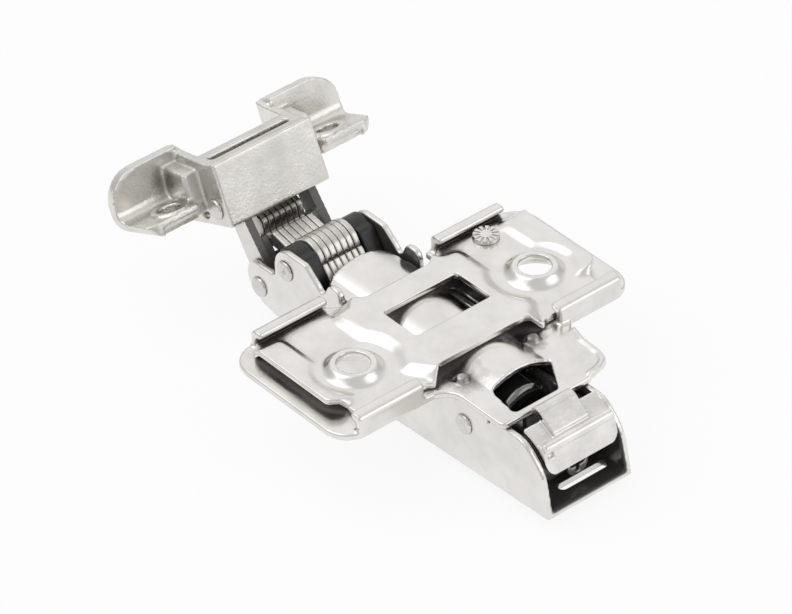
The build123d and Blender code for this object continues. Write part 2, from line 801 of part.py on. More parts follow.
def link_side(y):
    """Drawing plane along the outer link, with its first axis from the nose pivot."""
    along = (cos(radians(link_angle)), 0, sin(radians(link_angle)))
    return Plane(origin=(nose_x, y, nose_z), x_dir=along, z_dir=(0, -1, 0))


with BuildPart() as outer_link:
    with BuildSketch(link_side(outer_link_half_width)):
        Circle(outer_link_r)
        with Locations((link_length, 0)):
            Circle(outer_link_tip_r)
        make_hull()
    extrude(amount=2 * outer_link_half_width)
    with BuildSketch(link_side(outer_link_inner)) as hollow:
        outline([
            (-10, -10, 0),
            (20, -10, 0),
            (20, 10, 0),
            (outer_link_web, 10, 0),
            (outer_link_web, outer_link_r - sheet, 0),
            (-10, outer_link_r - sheet, 0),
        ])
    extrude(hollow.sketch, amount=2 * outer_link_inner, mode=Mode.SUBTRACT)
    with BuildSketch(link_side(0)) as holes:
        Circle(rivet_r + pin_gap)
        with Locations((link_length, 0)):
            Circle(rivet_r + pin_gap)
    extrude(holes.sketch, amount=2 * outer_link_half_width, both=True, mode=Mode.SUBTRACT)
outer_link.part.label = "outer_link"
export_step(outer_link.part, "parts/outer_link.step")

# Housing: hollow block in the middle, with an open wing on each side
roof_under = block_height - roof_wall
cavity_half_width = block_half_width - block_wall
lug_inner = stack_half_width + 0.15
lug_outer = lug_inner + lug_wall
boss_front = -4.5  # of the column beside the block
boss_reach = 11.2
boss_top = 8.6
wing_root = block_half_width - 0.5
end_top_r, end_low_r = wing_end_r
rear_view_corners = [
    (wing_root, wing_underside, 0),
    (wing_root, wing_top, 0),
    (wing_reach, wing_top, end_top_r),
    (wing_reach, wing_underside, end_low_r),
]
floor_corners = [
    (-housing_depth, wing_root, 0),
    (boss_front, wing_root, 0),
    (boss_front, boss_reach - 0.2, 0),
    (wing_front, boss_reach - 0.2, 0.5),
    (wing_front, wing_reach, 2.0),
    (-housing_depth, wing_reach, 0),
]
with BuildPart() as housing:
    for side in (1, -1):
        with BuildPart(mode=Mode.PRIVATE) as wing:
            with BuildSketch(housing_level(wing_underside)):
                outline([(p, side * y, r) for p, y, r in floor_corners])
            extrude(amount=wing_floor - wing_underside)
            with BuildSketch(housing_side(max(side * wing_root, side * wing_reach))) as back_wall:
                outline([
                    (-housing_depth, wing_underside, 0),
                    (-housing_depth, wing_top, 0),
                    (-housing_depth + wing_wall, wing_top, 0),
                    (-housing_depth + wing_foot_wall, wing_floor, wing_fillet_r),
                    (wing_front - 3, wing_floor, 0),
                    (wing_front - 3, wing_underside, 0),
                ])
            extrude(back_wall.sketch, amount=wing_reach - wing_root)
            with BuildSketch(housing_front(-housing_depth - 1)) as rear_view:
                outline([(side * y, q, r) for y, q, r in rear_view_corners])
            extrude(rear_view.sketch, amount=housing_depth + 2, mode=Mode.INTERSECT)
        add(wing.part)
        with BuildSketch(housing_side(max(side * wing_root, side * boss_reach))) as column:
            outline([
                (-housing_depth + 0.5, wing_underside, 0),
                (boss_front, wing_underside, 0),
                (boss_front, boss_top, 0.2),
                (-housing_depth + wing_wall, boss_top + 0.9, 0),
                (-housing_depth + 0.5, boss_top + 0.9, 0),
            ])
        extrude(column.sketch, amount=boss_reach - wing_root)
        with BuildSketch(housing_level(wing_floor - 0.2)) as pad:
            with Locations((door_screw_p, side * door_screw_pitch / 2)):
                Circle(door_pad_r)
        extrude(pad.sketch, amount=door_pad_rise + 0.2)
    with BuildSketch(housing_side(block_half_width)) as block:
        outline([
            (0, 0, 0.2),
            (0, block_height, 0.3),
            (-2.0, block_height - 0.3, 0.5),
            (-8.6, 10.7, 0),
            (-housing_depth, wing_top - 0.1, 0),
            (-housing_depth, 0.4, 0.5),
        ])
    extrude(block.sketch, amount=2 * block_half_width)
    with BuildSketch(housing_side(cavity_half_width)) as cavity:
        outline([
            (lip_wall * -1 + 1, -5, 0),
            (-lip_wall, 0, 0),
            (-face_wall, front_pivot[1], 0),
            (-face_wall, roof_under, 0.6),
            (-housing_depth - 5, roof_under, 0),
            (-housing_depth - 5, -5, 0),
        ])
        outline([
            (-5.4, roof_under - 0.5, 0),
            (-5.4, 20, 0),
            (-housing_depth - 5, 20, 0),
            (-housing_depth - 5, roof_under - 0.5, 0),
        ])
    extrude(cavity.sketch, amount=2 * cavity_half_width, mode=Mode.SUBTRACT)
    for y in (lug_outer, -lug_inner):
        with BuildSketch(housing_side(y)) as lug:
            with Locations(rear_pivot):
                Circle(lug_r)
            outline([
                (rear_pivot[0] - lug_r, rear_pivot[1], 0),
                (rear_pivot[0] + lug_r, rear_pivot[1], 0),
                (rear_pivot[0] + lug_r, roof_under, 0),
                (rear_pivot[0] - lug_r + 1, roof_under, 0),
            ])
        extrude(lug.sketch, amount=lug_wall)
    with BuildSketch(housing_level(block_height + 1)) as roof_slit:
        with Locations((sum(slit) / 2, 0)):
            RectangleRounded(slit[1] - slit[0], 2 * cavity_half_width - 0.6, 0.5)
    extrude(roof_slit.sketch, amount=-roof_wall - 1.5, mode=Mode.SUBTRACT)
    with BuildSketch(housing_level(0)) as door_screws:
        with Locations((door_screw_p, -door_screw_pitch / 2), (door_screw_p, door_screw_pitch / 2)):
            Circle(door_screw_r)
    extrude(door_screws.sketch, amount=wing_floor + 1, mode=Mode.SUBTRACT)
    with BuildSketch(housing_side(0)) as pivot_holes:
        with Locations(front_pivot, rear_pivot):
            Circle(rivet_r)
    extrude(pivot_holes.sketch, amount=2 * block_half_width, both=True, mode=Mode.SUBTRACT)
housing.part.label = "housing"
export_step(housing.part, "parts/housing.step")

with BuildPart() as housing_rivets:
    short_rivets(*front_pivot_xz, rivet_r, outer_link_inner - 0.2, block_half_width, head_r)
housing_rivets.part.label = "housing_rivets"
export_step(housing_rivets.part, "parts/housing_rivets.step")

with BuildPart() as rear_pin:
    with BuildSketch(side_plane(lug_outer)):
        with Locations(rear_pivot_xz):
            Circle(rivet_r)
    extrude(amount=2 * lug_outer)
rear_pin.part.label = "rear_pin"
export_step(rear_pin.part, "parts/rear_pin.step")
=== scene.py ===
import json
import math

import bmesh
import bpy
import numpy
from mathutils import Matrix, Vector
from mathutils.kdtree import KDTree


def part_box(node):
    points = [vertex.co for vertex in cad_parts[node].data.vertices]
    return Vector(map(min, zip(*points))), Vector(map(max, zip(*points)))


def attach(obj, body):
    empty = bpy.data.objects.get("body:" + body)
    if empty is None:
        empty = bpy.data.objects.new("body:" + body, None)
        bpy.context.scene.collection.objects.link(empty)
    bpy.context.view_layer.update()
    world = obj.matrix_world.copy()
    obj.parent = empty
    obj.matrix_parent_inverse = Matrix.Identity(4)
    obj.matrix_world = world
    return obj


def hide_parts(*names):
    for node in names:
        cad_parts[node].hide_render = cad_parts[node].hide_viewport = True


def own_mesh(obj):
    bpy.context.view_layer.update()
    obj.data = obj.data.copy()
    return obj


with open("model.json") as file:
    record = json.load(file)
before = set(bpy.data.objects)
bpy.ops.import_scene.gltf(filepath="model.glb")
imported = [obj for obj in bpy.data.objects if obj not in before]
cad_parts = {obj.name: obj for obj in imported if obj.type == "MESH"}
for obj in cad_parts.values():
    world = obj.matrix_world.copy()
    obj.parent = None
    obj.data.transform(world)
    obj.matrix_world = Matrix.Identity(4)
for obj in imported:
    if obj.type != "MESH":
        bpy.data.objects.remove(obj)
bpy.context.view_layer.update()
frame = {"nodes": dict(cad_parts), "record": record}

nodes = frame["nodes"]
mm = 0.001
white = (1.0, 1.0, 1.0, 1.0)
laminations = range(1, 8)


def report(stage):
    print("stage:", stage)


def addObject(name, data):
    item = bpy.data.objects.new(name, data)
    bpy.context.scene.collection.objects.link(item)
    return item


def finishedMesh(item):
    # the mesh that an object has once its modifiers or its bevel are worked out
    return bpy.data.meshes.new_from_object(item.evaluated_get(bpy.context.evaluated_depsgraph_get()))


class Tree:
    # short ways to add nodes and join them
    def __init__(self, tree):
        self.tree = tree

    def add(self, kind, inputs=None, **settings):
        node = self.tree.nodes.new(kind)
        for key, value in settings.items():
            setattr(node, key, value)
        for key, value in (inputs or {}).items():
            self.put(value, node.inputs[key])
        return node

    def put(self, value, socket):
        if isinstance(value, bpy.types.NodeSocket):
            self.tree.links.new(value, socket)
        elif isinstance(value, bpy.types.Node):
            self.tree.links.new(value.outputs[0], socket)
        else:
            socket.default_value = value

    def maths(self, operation, a, b=0.0, clamp=False):
        return self.add("ShaderNodeMath", {0: a, 1: b}, operation=operation, use_clamp=clamp)

    def ramp(self, value, low, high, start=0.0, end=1.0, curve="LINEAR"):
        return self.add("ShaderNodeMapRange", {"Value": value, "From Min": low, "From Max": high,
                                               "To Min": start, "To Max": end}, interpolation_type=curve)

    def mixColor(self, factor, a, b, blend="MIX"):
        node = self.add("ShaderNodeMix", data_type="RGBA", blend_type=blend)
        self.put(factor, node.inputs["Factor"])
        self.put(a, node.inputs[6])
        self.put(b, node.inputs[7])
        return node.outputs[2]

    def noise(self, vector, scale, detail, roughness):
        return self.add("ShaderNodeTexNoise", {"Vector": vector, "Scale": scale, "Detail": detail,
                                               "Roughness": roughness}).outputs["Fac"]

    def dot(self, a, b):
        return self.add("ShaderNodeVectorMath", {0: a, 1: b}, operation="DOT_PRODUCT").outputs["Value"]

    def place(self, stretch=(1.0, 1.0, 1.0)):
        # object coordinates in millimetres
        coordinates = self.add("ShaderNodeTexCoord").outputs["Object"]
        scale = tuple(s / mm for s in stretch)
        return self.add("ShaderNodeMapping", {"Vector": coordinates, "Scale": scale}).outputs[0]


def makeGroup(name, inputs, outputs):
    group = bpy.data.node_groups.new(name, "ShaderNodeTree")
    for label, kind, value in inputs:
        socket = group.interface.new_socket(label, in_out="INPUT", socket_type=kind)
        socket.default_value = value
    for label, kind in outputs:
        group.interface.new_socket(label, in_out="OUTPUT", socket_type=kind)
    tree = Tree(group)
    return group, tree, tree.add("NodeGroupInput"), tree.add("NodeGroupOutput")


# sizes of the nickel's marks: clouds, scratches along x and y, and pits
wear = {
    "cloud": {"detail": 4.0, "roughness": 0.6}, "cloudFrom": 0.3, "cloudTo": 0.7, "cloudRough": 0.16,
    "scratch": {"scale": 3.0, "detail": 2.0, "roughness": 0.6}, "scratchRough": 0.12, "scratchDepth": -0.25,
    "alongY": {"stretch": (3.0, 0.12, 0.5), "from": 0.66, "to": 0.72},
    "alongX": {"stretch": (0.18, 3.5, 0.5), "from": 0.67, "to": 0.73},
    "pit": {"scale": 1.4, "detail": 6.0, "roughness": 0.72}, "pitFrom": 0.66, "pitTo": 0.76,
    "pitShade": 0.5, "pitRough": 0.3}


def makeWornPlating():
    # cloudy patches, fine scratches and darker pits in a nickel surface
    group, tree, given, result = makeGroup(
        "wornPlating",
        [("Color", "NodeSocketColor", (0.8, 0.8, 0.8, 1.0)), ("Patch Size", "NodeSocketFloat", 0.2),
         ("Patches", "NodeSocketFloat", 0.2), ("Scratches", "NodeSocketFloat", 0.3),
         ("Pits", "NodeSocketFloat", 0.3), ("Roughness", "NodeSocketFloat", 0.25)],
        [("Color", "NodeSocketColor"), ("Roughness", "NodeSocketFloat"), ("Height", "NodeSocketFloat")])
    place = tree.place()
    cloud = tree.noise(place, given.outputs["Patch Size"], **wear["cloud"])
    shade = tree.ramp(cloud, wear["cloudFrom"], wear["cloudTo"], -0.5, 0.5)
    runs = [tree.ramp(tree.noise(tree.place(run["stretch"]), **wear["scratch"]), run["from"], run["to"])
            for run in (wear["alongY"], wear["alongX"])]
    spots = tree.ramp(tree.noise(place, **wear["pit"]), wear["pitFrom"], wear["pitTo"])
    darker = tree.maths("MULTIPLY", shade, given.outputs["Patches"])
    scratched = tree.maths("MULTIPLY", tree.maths("MAXIMUM", *runs), given.outputs["Scratches"])
    pits = tree.maths("MULTIPLY", spots, given.outputs["Pits"])
    level = tree.maths("SUBTRACT", 1.0, darker)
    level = tree.maths("SUBTRACT", level, tree.maths("MULTIPLY", pits, wear["pitShade"]))
    tint = tree.add("ShaderNodeCombineColor", {0: level, 1: level, 2: level})
    tree.put(tree.mixColor(1.0, given.outputs["Color"], tint.outputs[0], "MULTIPLY"), result.inputs["Color"])
    rough = tree.maths("ADD", given.outputs["Roughness"], tree.maths("MULTIPLY", shade, wear["cloudRough"]))
    rough = tree.maths("ADD", rough, tree.maths("MULTIPLY", scratched, wear["scratchRough"]))
    rough = tree.maths("ADD", rough, tree.maths("MULTIPLY", pits, wear["pitRough"]), clamp=True)
    tree.put(rough, result.inputs["Roughness"])
    height = tree.maths("SUBTRACT", tree.maths("MULTIPLY", scratched, wear["scratchDepth"]), pits)
    tree.put(height, result.inputs["Height"])
    return group


def makeGrain():
    # fine casting or moulding grain
    group, tree, given, result = makeGroup(
        "castGrain",
        [("Size", "NodeSocketFloat", 2.0), ("Amount", "NodeSocketFloat", 0.5)],
        [("Height", "NodeSocketFloat")])
    fine = tree.noise(tree.place(), given.outputs["Size"], detail=3.0, roughness=0.6)
    tree.put(tree.maths("MULTIPLY", fine, given.outputs["Amount"]), result.inputs["Height"])
    return group


# colours of painted shade: in recesses and creases, in patches, and inside channels
paintedShadeColors = {"recessShade": (0.034, 0.031, 0.026, 1.0), "patchShade": (0.05, 0.043, 0.034, 1.0),
              "channelShade": (0.035, 0.032, 0.028, 1.0)}


def makePaintedShade(name, inputs, cover):
    # painted shade over a colour; cover gives its mask from the group's tree and inputs
    group, tree, given, result = makeGroup(
        name, [("Color", "NodeSocketColor", (0.8, 0.8, 0.8, 1.0)), *inputs],
        [("Color", "NodeSocketColor"), ("Mask", "NodeSocketFloat")])
    mask = cover(tree, given.outputs)
    tree.put(tree.mixColor(mask, given.outputs["Color"], paintedShadeColors[name]), result.inputs["Color"])
    tree.put(mask, result.inputs["Mask"])
    return group


def recessCover(tree, given):
    # painted shade where other surfaces stand close
    around = tree.add("ShaderNodeAmbientOcclusion", {"Distance": given["Reach"]}, samples=8)
    closeness = tree.ramp(around.outputs["AO"], given["Closed"], given["Open"], 1.0, 0.0, "SMOOTHSTEP")
    return tree.maths("MULTIPLY", closeness, given["Depth"])


# the wandering edge of a patch of painted shade
shadePatchEdge = {"noise": {"scale": 0.6, "detail": 4.0, "roughness": 0.6}, "from": 0.2, "to": 0.8, "wander": 1.0}


def shadePatchCover(tree, given):
    # a patch of painted shade round one place, in millimetres, with a wandering edge
    place = tree.place()
    away = tree.add("ShaderNodeVectorMath", {0: place, 1: given["Place"]}, operation="DISTANCE")
    wander = tree.ramp(tree.noise(place, **shadePatchEdge["noise"]), shadePatchEdge["from"], shadePatchEdge["to"],
                       -shadePatchEdge["wander"], shadePatchEdge["wander"])
    edge = tree.maths("SUBTRACT", given["Reach"], tree.maths("ADD", away.outputs["Value"], wander))
    return tree.maths("MULTIPLY", tree.ramp(edge, 0.0, given["Fade"]), given["Depth"])


# where painted shade inside a channel and on its upward rim begins and where it is full
channelEdge = {"insideFrom": 1.0, "insideTo": 3.5, "upwardFrom": 0.15, "upwardTo": 0.6}


def channelCover(tree, given):
    # painted shade on the inside of a channel that runs along x, and on its upward-facing rim
    place = tree.add("ShaderNodeSeparateXYZ", {0: tree.place()})
    aside = tree.maths("MULTIPLY", place.outputs["Y"], -1.0)
    above = tree.maths("SUBTRACT", given["Axis Height"], place.outputs["Z"])
    inward = tree.add("ShaderNodeCombineXYZ", {"X": 0.0, "Y": aside, "Z": above})
    normal = tree.add("ShaderNodeNewGeometry").outputs["Normal"]
    inside = tree.ramp(tree.dot(inward, normal), channelEdge["insideFrom"], channelEdge["insideTo"])
    upward = tree.ramp(tree.add("ShaderNodeSeparateXYZ", {0: normal}).outputs["Z"],
                       channelEdge["upwardFrom"], channelEdge["upwardTo"])
    return tree.maths("MAXIMUM", tree.maths("MULTIPLY", inside, given["Depth"]),
                      tree.maths("MULTIPLY", upward, given["Rim"]))


# the plating's wear and grain, and three groups of painted shade: in recesses, in patches and in channels
groups = {
    "plating": makeWornPlating(),
    "grain": makeGrain(),
    "recess": makePaintedShade("recessShade", [
        ("Reach", "NodeSocketFloat", 0.004), ("Depth", "NodeSocketFloat", 0.95),
        ("Closed", "NodeSocketFloat", 0.15), ("Open", "NodeSocketFloat", 0.6)], recessCover),
    "shadePatch": makePaintedShade("patchShade", [
        ("Place", "NodeSocketVector", (0.0, 0.0, 0.0)), ("Reach", "NodeSocketFloat", 5.0),
        ("Depth", "NodeSocketFloat", 0.8), ("Fade", "NodeSocketFloat", 2.0)], shadePatchCover),
    "channel": makePaintedShade("channelShade", [
        ("Axis Height", "NodeSocketFloat", -8.0), ("Depth", "NodeSocketFloat", 0.95),
        ("Rim", "NodeSocketFloat", 0.0)], channelCover),
}


def useGroup(tree, name, values):
    node = tree.add("ShaderNodeGroup", node_tree=groups[name])
    for key, value in values.items():
        tree.put(value, node.inputs[key])
    return node.outputs


def emptyMaterial(name):
    material = bpy.data.materials.new(name)
    material.use_nodes = True
    material.node_tree.nodes.clear()
    return material, Tree(material.node_tree)


def surfaceMaterial(name):
    material, tree = emptyMaterial(name)
    shader = tree.add("ShaderNodeBsdfPrincipled")
    tree.put(shader.outputs[0], tree.add("ShaderNodeOutputMaterial").inputs[0])
    return material, tree, shader


metalSurface = {"bumpDistance": 0.00006, "recessRoughness": 0.3}


def makeMetal(name, look):
    material, tree, shader = surfaceMaterial(name)
    plating = useGroup(tree, "plating", {
        "Color": (*look["color"], 1.0), "Patch Size": look["patchSize"], "Patches": look["patches"],
        "Scratches": look["scratches"], "Pits": look["pits"], "Roughness": look["roughness"]})
    grain = useGroup(tree, "grain", {"Size": look["grainSize"], "Amount": look["grain"]})
    color, shadeMask = plating["Color"], 0.0
    # patches of painted shade
    for shadePatch in look.get("shadePatches", []):
        color = useGroup(tree, "shadePatch", {"Color": color, **shadePatch})["Color"]
    # painted shade inside a channel
    if "channel" in look:
        channel = useGroup(tree, "channel", {"Color": color, **look["channel"]})
        color, shadeMask = channel["Color"], channel["Mask"]
    # painted shade in creases, then in recesses
    if "crease" in look:
        color = useGroup(tree, "recess", {"Color": color, **look["crease"]})["Color"]
    recess = useGroup(tree, "recess", {"Color": color, **look["recess"]})
    tree.put(recess["Color"], shader.inputs["Base Color"])
    recessRough = tree.maths("MULTIPLY", recess["Mask"], metalSurface["recessRoughness"])
    tree.put(tree.maths("ADD", plating["Roughness"], recessRough), shader.inputs["Roughness"])
    shadeMask = tree.maths("MAXIMUM", shadeMask, recess["Mask"])
    tree.put(tree.maths("SUBTRACT", 1.0, shadeMask), shader.inputs["Metallic"])  # the painted shade is made non-metallic, so it stays dark
    height = tree.maths("ADD", plating["Height"], grain["Height"])
    bump = tree.add("ShaderNodeBump", {"Strength": look["bump"], "Height": height,
                                       "Distance": metalSurface["bumpDistance"]})
    tree.put(bump, shader.inputs["Normal"])
    return material


plasticSurface = {
    "dust": {"scale": 0.8, "detail": 5.0, "roughness": 0.7}, "dustFrom": 0.5, "dustTo": 0.8,
    "dustColor": (0.25, 0.24, 0.22, 1.0), "dustRoughness": 0.2, "bump": 0.4, "bumpDistance": 0.00004}


def makePlastic(name, look):
    material, tree, shader = surfaceMaterial(name)
    dust = tree.ramp(tree.noise(tree.place(), **plasticSurface["dust"]),
                     plasticSurface["dustFrom"], plasticSurface["dustTo"])
    dusty = tree.maths("MULTIPLY", dust, look["dust"])
    color = tree.mixColor(dusty, (*look["color"], 1.0), plasticSurface["dustColor"])
    tree.put(color, shader.inputs["Base Color"])
    dustyRough = look["roughness"] + plasticSurface["dustRoughness"]
    tree.put(tree.ramp(dust, 0.0, 1.0, look["roughness"], dustyRough), shader.inputs["Roughness"])
    shader.inputs["Coat Weight"].default_value = look["coat"]
    shader.inputs["Coat IOR"].default_value = look["coatIor"]
    grain = useGroup(tree, "grain", {"Size": look["grainSize"], "Amount": look["grain"]})
    bump = tree.add("ShaderNodeBump", {"Strength": plasticSurface["bump"], "Height": grain["Height"],
                                       "Distance": plasticSurface["bumpDistance"]})
    tree.put(bump, shader.inputs["Normal"])
    return material


# painted shade in recesses: how far it reaches and how dark it gets
openRecess = {"Reach": 0.0035, "Depth": 0.93, "Closed": 0.1, "Open": 0.5}
tightRecess = {"Reach": 0.0015, "Depth": 0.95, "Closed": 0.1, "Open": 0.7}
pressedNickel = {
    "color": (0.77, 0.752, 0.725), "roughness": 0.2, "patchSize": 0.2, "patches": 0.12,
    "scratches": 0.35, "pits": 0.25, "grainSize": 1.2, "grain": 0.25, "bump": 0.3, "recess": openRecess}
turnedSteel = {
    "color": (0.68, 0.665, 0.64), "roughness": 0.22, "patchSize": 0.5, "patches": 0.15,
    "scratches": 0.3, "pits": 0.2, "grainSize": 2.0, "grain": 0.3, "bump": 0.3, "recess": tightRecess}
darkSteel = turnedSteel | {"color": (0.42, 0.41, 0.39), "roughness": 0.28, "patches": 0.2, "grainSize": 3.0}
metalLooks = {
    "scuffedNickel": pressedNickel | {
        "patches": 0.22, "patchSize": 0.3, "scratches": 0.9, "grain": 0.6, "bump": 0.5},
    "sheetNickel": pressedNickel | {
        "recess": {"Reach": 0.0009, "Depth": 0.85, "Closed": 0.05, "Open": 0.55}},
    "ridgedNickel": pressedNickel | {
        "recess": openRecess | {"Open": 0.64},
        # painted shade under the wall plate's rear edge beside the lugs, and in the slots beside the ridge
        "shadePatches": [{"Place": (10.4, -5.0, -2.6), "Reach": 3.2, "Depth": 0.7, "Fade": 2.4},
                   {"Place": (9.4, 6.2, -2.6), "Reach": 3.2, "Depth": 0.75, "Fade": 2.0},
                   {"Place": (-0.5, 6.4, -3.4), "Reach": 3.4, "Depth": 0.85, "Fade": 1.6},
                   {"Place": (-4.5, 6.4, -3.4), "Reach": 3.2, "Depth": 0.85, "Fade": 1.6}]},
    # the arm: painted shade inside its channel
    "channelNickel": pressedNickel | {"channel": {"Axis Height": -9.0, "Depth": 0.97}},
    # the outer link: painted shade inside its channel, on its upward rim and in its recesses
    "rimShadedNickel": pressedNickel | {
        "color": (0.72, 0.7, 0.67), "channel": {"Axis Height": -8.0, "Depth": 0.98, "Rim": 0.9},
        "recess": {"Reach": 0.006, "Depth": 0.97, "Closed": 0.2, "Open": 0.75}},
    "castNickel": {
        "color": (0.71, 0.695, 0.66), "roughness": 0.27, "patchSize": 0.2, "patches": 0.18,
        "scratches": 0.3, "pits": 0.7, "grainSize": 2.4, "grain": 1.3, "bump": 0.6,
        # painted shadow of each wing's column on the wall behind it
        "shadePatches": [{"Place": (-45.8, side * 11.6, 2.6), "Reach": 2.6, "Depth": 0.55, "Fade": 2.4}
                   for side in (-1, 1)],
        # painted shade in the casting's creases and recesses
        "crease": {"Reach": 0.0008, "Depth": 0.75, "Closed": 0.3, "Open": 0.62},
        "recess": {"Reach": 0.003, "Depth": 0.7, "Closed": 0.05, "Open": 0.42}},
    "shearedNickel": {
        "color": (0.64, 0.62, 0.585), "roughness": 0.27, "patchSize": 0.3, "patches": 0.15,
        "scratches": 0.5, "pits": 0.3, "grainSize": 2.0, "grain": 0.4, "bump": 0.35, "recess": tightRecess,
        # painted shade on the laminations under the housing
        "shadePatches": [{"Place": (-35.5, 0.0, -0.5), "Reach": 6.0, "Depth": 0.72, "Fade": 3.5}]},
    "turnedSteel": turnedSteel,
    "notchedSteel": turnedSteel | {
        "color": (0.72, 0.705, 0.68), "roughness": 0.24,
        "recess": {"Reach": 0.0008, "Depth": 0.45, "Closed": 0.1, "Open": 0.6}},
    "oiledSpring": darkSteel | {"scratches": 0.2, "recess": openRecess},
    "screwSteel": darkSteel | {
        "pits": 0.3, "recess": {"Reach": 0.006, "Depth": 0.95, "Closed": 0.2, "Open": 0.8}},
}
plasticLooks = {
    "blackPlastic": {"color": (0.012, 0.012, 0.012), "roughness": 0.3, "grainSize": 3.0, "grain": 0.4,
                     "dust": 0.04, "coat": 0.0, "coatIor": 1.5},
    "glossyPlastic": {"color": (0.012, 0.012, 0.012), "roughness": 0.14, "grainSize": 2.0, "grain": 0.2,
                      "dust": 0.03, "coat": 1.0, "coatIor": 2.4},
}
materials = {name: makeMetal(name, look) for name, look in metalLooks.items()}
materials |= {name: makePlastic(name, look) for name, look in plasticLooks.items()}
report("materials")


# what each piece is finished in, how finely its edges are softened in millimetres, and in how many passes
finishes = {
    "wall_plate": ("sheetNickel", 0.22, 3),
    "base_plate": ("ridgedNickel", 0.25, 4),
    "arm": ("channelNickel", 0.25, 4),
    "release_lever": ("scuffedNickel", 0.13, 2),
    "outer_link": ("rimShadedNickel", 0.14, 2),
    "housing": ("castNickel", 0.22, 4),
    "height_cam": ("notchedSteel", 0.08, 1),
    "ear_pin": ("turnedSteel", 0.14, 2),
    "nose_rivets": ("turnedSteel", 0.1, 3),
    "lever_rivets": ("turnedSteel", 0.1, 3),
    "housing_rivets": ("turnedSteel", 0.13, 2),
    "rear_pin": ("turnedSteel", 0, 0),
    "damper_rod": ("turnedSteel", 0, 0),
    "closing_spring": ("oiledSpring", 0, 0),
    "screw_block": ("screwSteel", 0.26, 2),
    "screw_bracket": ("screwSteel", 0.14, 3),
    "depth_screw": ("screwSteel", 0.13, 2),
    "near_bushing": ("blackPlastic", 0.17, 2),
    "far_bushing": ("blackPlastic", 0.17, 2),
    "damper_body": ("glossyPlastic", 0.28, 2),
    "follower_carrier": ("blackPlastic", 0, 0),
}
for number in laminations:
    finishes[f"inner_link_{number}"] = ("shearedNickel", 0.15, 2)
    finishes[f"follower_plate_{number}"] = ("shearedNickel", 0.15, 2)
bodyOf = {node: body for body, members in frame["record"]["behaviour"]["bodies"].items() for node in members}


# where a pressed sheet's slopes run soft, in millimetres from its cut edges and from its screw holes
pressing = {
    "sheets": ["wall_plate"], "passes": 110, "strength": 0.6, "cutSlope": 0.25, "cutStep": 0.5,
    "edgeFrom": 0.5, "edgeTo": 1.8, "coneKeep": 3.4, "coneFree": 5.4, "holeY": 16.0}


def cutPoints(cad):
    # points all over the sheet's cut edges, which are its steep faces
    points = []
    for polygon in cad.polygons:
        if abs(polygon.normal.z) < pressing["cutSlope"]:
            corners = [cad.vertices[i].co for i in polygon.vertices]
            longest = max((a - b).length for a in corners for b in corners)
            steps = max(1, int(longest / pressing["cutStep"]))
            for a in corners:
                for b in corners:
                    points += [a.lerp(b, k / steps) for k in range(steps)]
    return points


def softenSlopes(mesh, cad):
    # heights are averaged over the sheet, while cut edges and the rims of the screw cones stay
    cuts = cutPoints(cad)
    tree = KDTree(len(cuts))
    for index, point in enumerate(cuts):
        tree.insert(point, index)
    tree.balance()
    free = []
    for vertex in mesh.vertices:
        away = tree.find(vertex.co)[2]
        share = (away - pressing["edgeFrom"]) / (pressing["edgeTo"] - pressing["edgeFrom"])
        cone = math.hypot(vertex.co.x, abs(vertex.co.y) - pressing["holeY"])
        keep = (cone - pressing["coneKeep"]) / (pressing["coneFree"] - pressing["coneKeep"])
        free.append(max(0.0, min(1.0, share, keep)))
    edges = numpy.empty(len(mesh.edges) * 2, dtype=numpy.int64)
    mesh.edges.foreach_get("vertices", edges)
    first, second = edges.reshape(-1, 2).T
    places = numpy.empty(len(mesh.vertices) * 3)
    mesh.vertices.foreach_get("co", places)
    places = places.reshape(-1, 3)
    count = numpy.bincount(edges, minlength=len(places))
    weight = numpy.array(free) * pressing["strength"]
    for _ in range(pressing["passes"]):
        total = numpy.bincount(first, places[second, 2], len(places))
        total += numpy.bincount(second, places[first, 2], len(places))
        places[:, 2] += weight * (total / numpy.maximum(count, 1) - places[:, 2])
    mesh.vertices.foreach_set("co", places.ravel())


def prism(name, outline, start, end, axis):
    # a closed outline drawn across the axis and drawn out along it
    def corner(a, b, along):
        return (a, along, b) if axis == "y" else (along, a, b)
    count = len(outline)
    corners = [corner(*point, along) for along in (start, end) for point in outline]
    sides = [(k, (k + 1) % count, count + (k + 1) % count, count + k) for k in range(count)]
    mesh = bpy.data.meshes.new(name)
    mesh.from_pydata(corners, [], [tuple(range(count)), tuple(range(2 * count - 1, count - 1, -1)), *sides])
    bm = bmesh.new()
    bm.from_mesh(mesh)
    bmesh.ops.recalc_face_normals(bm, faces=bm.faces)
    bm.to_mesh(mesh)
    bm.free()
    return mesh


def circle(center, radius, steps=24):
    turns = [2 * math.pi * k / steps for k in range(steps)]
    return [(center[0] + radius * math.cos(t), center[1] + radius * math.sin(t)) for t in turns]


def tube(name, path, radius):
    curve = bpy.data.curves.new(name, "CURVE")
    curve.dimensions = "3D"
    curve.bevel_depth = radius
    curve.use_fill_caps = True
    spline = curve.splines.new("POLY")
    spline.points.add(len(path) - 1)
    for point, place in zip(spline.points, path):
        point.co = (*place, 1.0)
    holder = addObject(name, curve)
    mesh = finishedMesh(holder)
    bpy.data.objects.remove(holder)
    return mesh


# the lever's raised middle panel, the bead over its lip, and the lip's round corners, in millimetres
lever = {
    "panel": [(21.5, -1.9), (21.9, -1.5), (22.6, -1.35), (23.3, -1.6), (25.9, -3.5), (26.2, -4.4),
              (23.1, -3.0), (21.5, -2.5)],
    "panelFrom": -3.4, "panelTo": 2.9, "beadPlace": (26.8, -4.5), "beadRadius": 0.78, "beadHalfLength": 5.9,
    "halfWidth": 6.2, "lipBottom": -8.3, "lipFrom": 26.5, "lipTo": 29.5,
    "cornerRadius": 1.9, "cornerSteps": 8, "cutMargin": 1.0}


